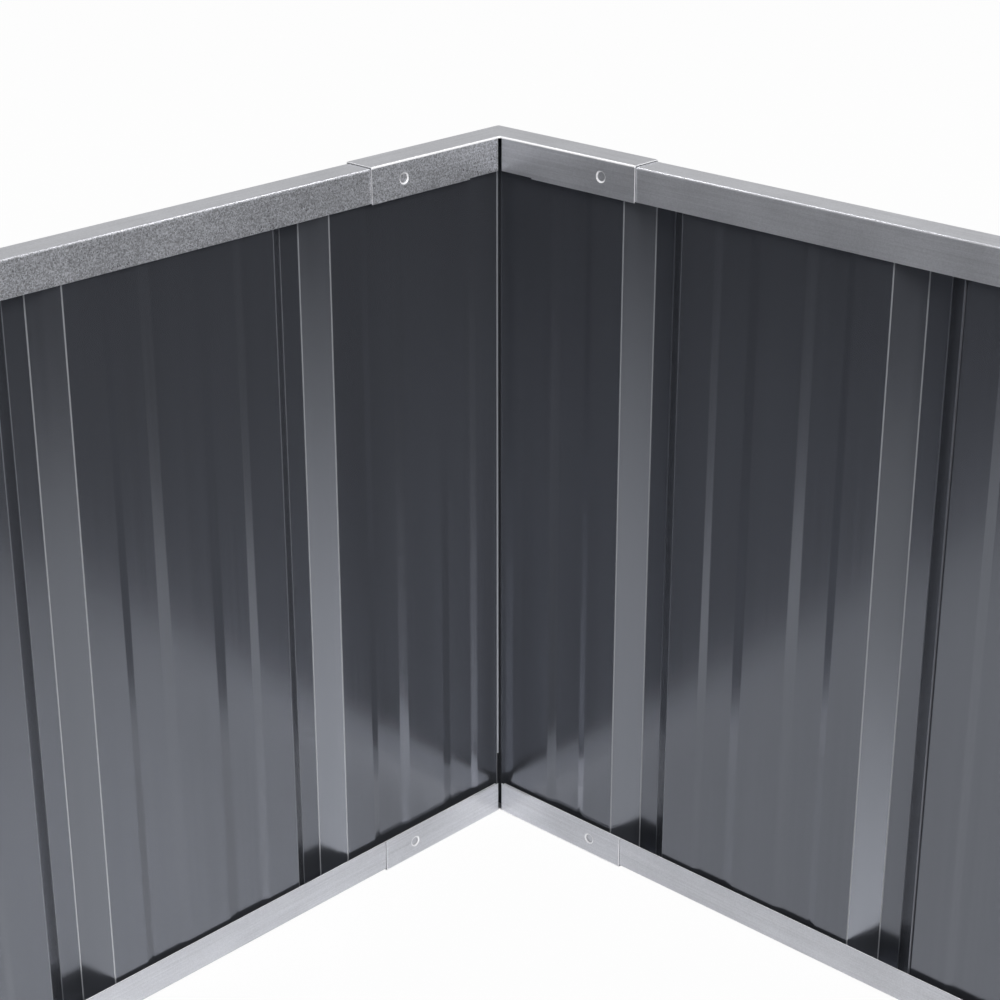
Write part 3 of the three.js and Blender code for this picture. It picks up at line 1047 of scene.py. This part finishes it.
@dataclass(frozen=True)
class CornerCaps(FoldedPieces):
    """The L-shaped channels that slip over the rails' ends."""

    steel: float = 0.0006
    gap: float = 0.0003  # between a cap and the rail in it
    fold: float = 0.0012
    fold_steps: int = 4
    nose: float = 0.002
    nose_steps: int = 5  # the middle one is the seam
    notch: float = 0.0014
    relief_length: float = 0.025
    relief_height: float = 0.0008
    open_hole: float = 0.007
    open_hole_offset: float = 0.0778  # from the inside corner
    hole_slope: float = 0.0009  # how much nearer to its middle the hole's back edge lies
    screw_hole: float = 0.0048
    hole_sides: int = 32

    def folded(self, bed: BedOutline) -> Iterator[tuple[str, SheetMetal, Matrix]]:
        """Folds the eight caps.

        Args:
            bed: The bed's outline.

        Yields:
            A cap's node, its metal and its place.
        """
        rail_low, rail_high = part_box("bottom_rail_back")
        width = rail_high.y - rail_low.y + 2 * (self.steel + self.gap)
        turned_over = Matrix.Rotation(math.pi, 4, Vector((1, 1, 0)))
        for level in Level:
            for corner in Corner:
                node = f"{level.value}_corner_cap_{corner.name.lower()}"
                place = corner.place(bed)
                low, high = box_in(place, node)
                if level is Level.TOP:
                    place = place @ (Matrix.Translation((0, 0, bed.height)) @ turned_over)
                yield node, self.cap(bed, width, high.x, high.z - low.z), place

    def cap(self, bed: BedOutline, width: float, leg: float, flange: float) -> SheetMetal:
        """Folds one cap, web down, its outside corner at the origin and its legs along +X and +Y.

        Args:
            bed: The bed's outline.
            width: The channel's width.
            leg: From the outside corner to the end of a leg.
            flange: The flanges' height over the web's outer face.

        Returns:
            The cap on the bench.
        """
        metal = SheetMetal()
        bm = metal.bm
        middle = Matrix.Translation((width / 2, width / 2, 0))
        bmesh.ops.create_grid(bm, x_segments=1, y_segments=1, size=width / 2, matrix=middle)
        roots = [
            [edge for edge in bm.edges if all(vert.co[axis] > width / 2 for vert in edge.verts)]
            for axis in range(2)
        ]
        for root, along in zip(roots, (ALONG_X, ALONG_Y)):
            metal.pull(root, along * (leg - width))
        inner = [edge for edge in bm.edges if edge.is_manifold]
        bmesh.ops.dissolve_edges(bm, edges=inner, use_verts=False)
        outside = min(bm.verts, key=lambda vert: vert.co.length)
        bmesh.ops.bevel(
            bm, geom=[outside], offset=self.nose, offset_type="OFFSET", segments=self.nose_steps,
            profile=0.5, affect="VERTICES", clamp_overlap=False, material=-1,
        )
        tips = [
            edge for edge in bm.edges
            if max(min(vert.co[axis] for vert in edge.verts) for axis in range(2)) > leg - self.nose
        ]
        sides = [edge for edge in bm.edges if edge.is_boundary and edge not in tips]
        metal.pull(sides, UP * flange)
        level = [bend for bend in metal.bends() if all(vert.co.z < self.fold for vert in bend.verts)]
        metal.fold(level, self.fold, self.fold_steps)
        self.open_nose(metal, flange)
        self.open_inside(metal, width, flange)
        rise = UP * bed.screw_height
        opened = []
        for along, facing in ((ALONG_X, ALONG_Y), (ALONG_Y, ALONG_X)):
            centre = along * (width + self.open_hole_offset) + facing * width + rise
            opened.append((centre, facing))
            metal.punch([centre], facing, self.open_hole, self.hole_sides)
            metal.punch([along * bed.screw_offset + rise], facing, self.screw_hole, self.hole_sides)
        metal.thicken(self.steel, self.burr, -UP)
        for centre, facing in opened:
            metal.slope_hole(centre, facing, self.open_hole, self.hole_slope, self.steel)
        return metal

    def open_nose(self, metal: SheetMetal, flange: float) -> None:
        """Opens the seam between the two outer flanges, at the middle of the nose.

        Args:
            metal: The cap on the bench.
            flange: The flanges' height.
        """
        crossing = 1 - math.sqrt(0.5)  # where a round crosses its corner's diagonal, in radii
        middle = Vector((1, 1, 0)) * self.nose * crossing + UP * (self.fold + flange) / 2
        face = min(metal.bm.faces, key=lambda item: (item.calc_center_median() - middle).length)
        bmesh.ops.delete(metal.bm, geom=[face], context="FACES")

    def open_inside(self, metal: SheetMetal, width: float, flange: float) -> None:
        """Opens the inside corner between the two inner flanges, and lowers them beside it.

        Args:
            metal: The cap on the bench.
            width: The channel's width.
            flange: The flanges' height.
        """
        room = self.steel
        for reach, floor in (
            (self.notch, self.fold), (self.relief_length, flange - self.relief_height),
        ):
            far = width + reach
            low = Vector((width - room, width - room, floor))
            for facing, axis in ((ALONG_Y, 0), (ALONG_X, 1)):
                high = Vector((width + room, width + room, flange + room))
                high[axis] = far
                metal.snip(low, high, facing)


@dataclass(frozen=True)
class CornerPosts(FoldedPieces):
    """The folded angles that stand in the corners, from rail to rail."""

    slot: ClassVar[str] = "anthracite_paint"
    ending: ClassVar[str] = "painted"
    fold: float = 0.0015
    fold_steps: int = 4
    screw_hole: float = 0.0048
    hole_sides: int = 24

    def folded(self, bed: BedOutline) -> Iterator[tuple[str, SheetMetal, Matrix]]:
        """Folds the four posts.

        Args:
            bed: The bed's outline.

        Yields:
            A post's node, its metal and its place.
        """
        for corner in Corner:
            node = f"corner_post_{corner.name.lower()}"
            place = corner.place(bed)
            low, high = box_in(place, node)
            metal = SheetMetal()
            ends = Vector((high.x, low.y, low.z)), Vector((low.x, high.y, low.z))
            metal.sweep([ends[0], low, ends[1]], UP * (high.z - low.z))
            metal.fold(metal.bends(), self.fold, self.fold_steps)
            for along, face in ((ALONG_X, ALONG_Y * low.y), (ALONG_Y, ALONG_X * low.x)):
                row = along * bed.screw_offset + face
                centres = [row + UP * bed.screw_at(level) for level in Level]
                facing = ALONG_X + ALONG_Y - along
                metal.punch(centres, facing, self.screw_hole, self.hole_sides)
            metal.thicken(self.steel, self.burr, -ALONG_X - ALONG_Y)
            yield node, metal, place


@dataclass(frozen=True)
class Screws:
    """Pan-head screws with a cross recess and a cut thread."""

    shank: float = 0.0042  # diameter over the thread
    core: float = 0.0033
    pitch: float = 0.0013
    length: float = 0.0095
    point: float = 0.0025
    head: float = 0.0082
    head_rim: float = 0.0011
    head_edge: float = 0.0002
    head_dome: float = 0.0013
    dome_steps: int = 6
    recess_width: float = 0.0012
    recess_length: float = 0.0044
    recess_depth: float = 0.0014
    recess_taper: Point = (0.45, 1, 0.6)  # what is left of its sides at its floor
    thread_root: float = 0.0001  # how deep the thread's foot lies in the core
    thread_rise: float = 0.36  # half the thread's foot, as a share of the pitch
    steps: int = 32
    thread_steps: int = 16
    sharp_from: float = 40.0  # degrees
    same_point: float = 1e-7  # corners nearer to each other than this are one

    def build(self, bed: BedOutline, look: bpy.types.Material) -> list[Piece]:
        """Builds the sixteen screws.

        Args:
            bed: The bed's outline.
            look: The plating.

        Returns:
            The dressed pieces.
        """
        pieces = []
        master = self.master()
        low, _ = box_in(Corner.FRONT_LEFT.place(bed), "bottom_screw_front_left_a")
        seat = low.y + self.head_rim + self.head_dome
        turned = Matrix.Rotation(-QUARTER, 4, "Z")
        for corner in Corner:
            for level in Level:
                z = bed.screw_at(level)
                seats = {
                    "a": Matrix.Translation((bed.screw_offset, seat, z)),
                    "b": Matrix.Translation((seat, bed.screw_offset, z)) @ turned,
                }
                for label, at in seats.items():
                    node = f"{level.value}_screw_{corner.name.lower()}_{label}"
                    bm = bmesh.new()
                    bm.from_mesh(master)
                    bmesh.ops.transform(bm, matrix=corner.place(bed) @ at, verts=bm.verts[:])
                    sharp_from = math.radians(self.sharp_from)
                    piece = to_object(bm, f"{node}_plated", [look], sharp_from)
                    pieces.append(dress(piece, node, "zinc_plate"))
        bpy.data.meshes.remove(master)
        return pieces

    def master(self) -> bpy.types.Mesh:
        """Turns one screw along +Y, with the underside of its head at the origin.

        Returns:
            Its mesh.
        """
        items = []
        for name, bm in (("screw_body", self.turn_body()), ("screw_cross", self.cut_cross())):
            mesh = bpy.data.meshes.new(name)
            bm.to_mesh(mesh)
            bm.free()
            items.append(bpy.data.objects.new(name, mesh))
            bpy.context.scene.collection.objects.link(items[-1])
        turned, tool = items
        recess = turned.modifiers.new("recess", "BOOLEAN")
        recess.object = tool
        recess.operation = "DIFFERENCE"
        recess.solver = "EXACT"
        recess.use_self = True
        bpy.context.view_layer.update()
        shaped = turned.evaluated_get(bpy.context.evaluated_depsgraph_get())
        mesh = bpy.data.meshes.new_from_object(shaped)
        for item in items:
            bpy.data.objects.remove(item)
        threaded = bmesh.new()
        threaded.from_mesh(mesh)
        self.cut_thread(threaded)
        threaded.to_mesh(mesh)
        threaded.free()
        return mesh

    def turn_body(self) -> Mesh:
        """Spins the head, core and point round +Y.

        Returns:
            The screw without its cross and thread.
        """
        bm = bmesh.new()
        top, crown, core = self.head / 2, -self.head_rim - self.head_dome, self.core / 2
        dome = [
            (top * math.cos(turn), -self.head_rim - self.head_dome * math.sin(turn))
            for turn in (QUARTER * step / self.dome_steps for step in range(self.dome_steps))
        ]
        outline = [
            (0.0, crown), *reversed(dome), (top, -self.head_edge), (top - self.head_edge, 0.0),
            (core, 0.0), (core, self.length - self.point), (0.0, self.length),
        ]
        verts = [bm.verts.new((radius, along, 0)) for radius, along in outline]
        edges = [bm.edges.new(pair) for pair in zip(verts, verts[1:])]
        bmesh.ops.spin(
            bm, geom=[*verts, *edges], cent=(0, 0, 0), axis=(0, 1, 0), angle=2 * math.pi,
            steps=self.steps, use_merge=True,
        )
        bmesh.ops.remove_doubles(bm, verts=bm.verts[:], dist=self.same_point)
        bmesh.ops.recalc_face_normals(bm, faces=bm.faces[:])
        return bm

    def cut_cross(self) -> Mesh:
        """Shapes the tool that sinks the cross into the head.

        Returns:
            Two crossed, tapered bars.
        """
        bm = bmesh.new()
        for turn in (0, QUARTER):
            bar = bmesh.ops.create_cube(bm, size=1.0)["verts"]
            deep = [vert for vert in bar if vert.co.y > 0]
            size = (self.recess_length, 2 * self.recess_depth, self.recess_width)
            bmesh.ops.scale(bm, verts=bar, vec=size)
            bmesh.ops.scale(bm, verts=deep, vec=self.recess_taper)
            bmesh.ops.rotate(bm, verts=bar, cent=(0, 0, 0), matrix=Matrix.Rotation(turn, 3, "Y"))
            bmesh.ops.translate(bm, verts=bar, vec=(0, -self.head_rim - self.head_dome, 0))
        bmesh.ops.recalc_face_normals(bm, faces=bm.faces[:])
        return bm

    def cut_thread(self, bm: Mesh) -> None:
        """Winds the thread round the core.

        Args:
            bm: The screw that it is added to.
        """
        turns = (self.length - self.point) / self.pitch - 1
        steps = round(turns * self.thread_steps)
        root, crest = self.core / 2 - self.thread_root, self.shank / 2
        rise = self.pitch * self.thread_rise
        corners = [
            bm.verts.new((radius, along + self.pitch / 2, 0))
            for radius, along in ((root, -rise), (crest, 0.0), (root, rise))
        ]
        first = bm.faces.new(corners)
        bmesh.ops.spin(
            bm, geom=[first], cent=(0, 0, 0), axis=(0, 1, 0), angle=turns * 2 * math.pi,
            steps=steps, dvec=(0, turns * self.pitch / steps, 0), use_duplicate=False,
        )
        bmesh.ops.recalc_face_normals(bm, faces=bm.faces[:])


# ---- Camera, floor and light ----


@dataclass(frozen=True)
class Lamp:
    """A square soft light that looks at the bed."""

    name: str
    at: Point
    power: float  # watts
    size: float

    def hang(self, target: Point) -> None:
        """Hangs the lamp up.

        Args:
            target: The point that it looks at.
        """
        light = bpy.data.lights.new(self.name, "AREA")
        light.energy = self.power
        light.size = self.size
        holder = bpy.data.objects.new(self.name, light)
        holder.location = self.at
        gaze = Vector(target) - Vector(self.at)
        holder.rotation_euler = gaze.to_track_quat("-Z", "Y").to_euler()
        bpy.context.scene.collection.objects.link(holder)


@dataclass(frozen=True)
class Studio:
    """A pale floor, soft light and the photograph's point of view."""

    eye: Point = (0.3976, -0.4478, 0.7514)
    heading: float = 43.401  # degrees from +Y towards -X
    pitch: float = 22.563  # degrees downwards
    lens: float = 80.23  # millimetres
    sensor: float = 36.0  # millimetres across
    floor_size: float = 14.0
    floor_drop: float = 0.0004
    floor_white: float = 0.76
    floor_roughness: float = 0.36
    floor_gloss: float = 3.5  # index of refraction
    floor_glow: float = 0.965  # share of plain white in the floor, as the camera sees it
    mirrored_glow: float = 0.1  # and as glossy surfaces see it
    mirrored_sky: float = 0.5
    ambient: float = 0.5
    target: Point = (0.0, 0.0, 0.2)
    lamps: tuple[Lamp, ...] = (
        Lamp("key_light", (1.98, -0.6, 1.9), 80.0, 1.3),
        Lamp("fill_light", (0.2, -0.6, 2.6), 20.0, 2.0),
        Lamp("left_rim_light", (-1.5, 0.2, 2.1), 5.5, 0.5),
        Lamp("back_rim_light", (-0.2, 1.6, 2.05), 5.5, 0.5),
    )

    def build(self) -> None:
        """Sets up everything round the bed."""
        self.place_camera()
        self.lay_floor()
        self.light_world()
        for lamp in self.lamps:
            lamp.hang(self.target)
        bpy.context.scene.view_settings.view_transform = "Standard"

    def place_camera(self) -> None:
        """Puts the camera where the photograph was taken from."""
        camera = bpy.data.objects.new("camera", bpy.data.cameras.new("camera"))
        camera.data.lens = self.lens
        camera.data.sensor_width = self.sensor
        camera.location = self.eye
        camera.rotation_euler = (QUARTER - math.radians(self.pitch), 0, math.radians(self.heading))
        bpy.context.scene.collection.objects.link(camera)
        bpy.context.scene.camera = camera

    def lay_floor(self) -> None:
        """Lays the floor just under the bed."""
        bm = bmesh.new()
        drop = Matrix.Translation((0, 0, -self.floor_drop))
        bmesh.ops.create_grid(bm, x_segments=1, y_segments=1, size=self.floor_size / 2, matrix=drop)
        floor = to_object(bm, "floor", [self.floor_finish()], math.pi)
        floor.modifiers.clear()
        floor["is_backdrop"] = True

    def floor_finish(self) -> bpy.types.Material:
        """A satin white floor that the camera sees near plain white, shadows kept.

        Returns:
            The material.
        """
        material = bpy.data.materials.new("studio_floor")
        shader = Shader(material)
        satin = shader.add("ShaderNodeBsdfPrincipled", {}, {
            "Base Color": (*[self.floor_white] * 3, 1), "Roughness": self.floor_roughness,
            "IOR": self.floor_gloss,
        })
        glow = shader.add("ShaderNodeEmission", {}, {"Color": (1, 1, 1, 1), "Strength": 1.0})
        seen = self.seen(shader, self.floor_glow, self.mirrored_glow, 0.0)
        surface = shader.add("ShaderNodeMixShader", {}, {0: seen, 1: satin, 2: glow})
        shader.add("ShaderNodeOutputMaterial", {}, {"Surface": surface})
        return material

    @staticmethod
    def seen(shader: Shader, straight: float, mirrored: float, otherwise: float) -> Value:
        """A level that depends on how light comes to the camera.

        Args:
            shader: The shader that it is worked out in.
            straight: The level for what the camera sees straight or through glass.
            mirrored: The level for what glossy surfaces see.
            otherwise: The level for all other light.

        Returns:
            The level.
        """
        levels = {"Camera": straight, "Transmission": straight, "Glossy": mirrored}
        level = None
        for kind, given in levels.items():
            ray = shader.add("ShaderNodeLightPath", {}, {}, f"Is {kind} Ray")
            added = (given - otherwise) * ray
            level = added if level is None else level.at_least(added)
        return otherwise + level

    def light_world(self) -> None:
        """Even light from all round, which the camera sees as plain white."""
        world = bpy.data.worlds.new("studio")
        bpy.context.scene.world = world
        shader = Shader(world)
        strength = self.seen(shader, 1.0, self.mirrored_sky, self.ambient)
        sky = shader.add("ShaderNodeBackground", {}, {"Color": (1, 1, 1, 1), "Strength": strength})
        shader.add("ShaderNodeOutputWorld", {}, {"Surface": sky})


def write_sizes() -> None:
    boxes = {"cad": cad_box, "visual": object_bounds()}
    plain = {name: [list(corner) for corner in box] for name, box in boxes.items()}


def main() -> None:
    """Builds the studio and dresses the bed, ring by ring."""
    logging.basicConfig(level=logging.INFO, format="%(name)s %(message)s")
    Studio().build()
    bed = BedOutline.from_frame()
    zinc = (Galvanised().material(), MarkedMetal.cut_zinc_highlighted().material())
    paint = (AnthracitePaint().material(), MarkedMetal.cut_paint().material())
    walls = (*paint, FoldHighlightPaint().material())
    pieces = [
        *WallSheets().build(bed, walls), *Rails().build(bed, zinc), *CornerCaps().build(bed, zinc),
        *CornerPosts().build(bed, paint), *Screws().build(bed, MarkedMetal.plated().material()),
    ]
    log.info("%d pieces", len(pieces))
    write_sizes()


if __name__ == "__main__":
    main()
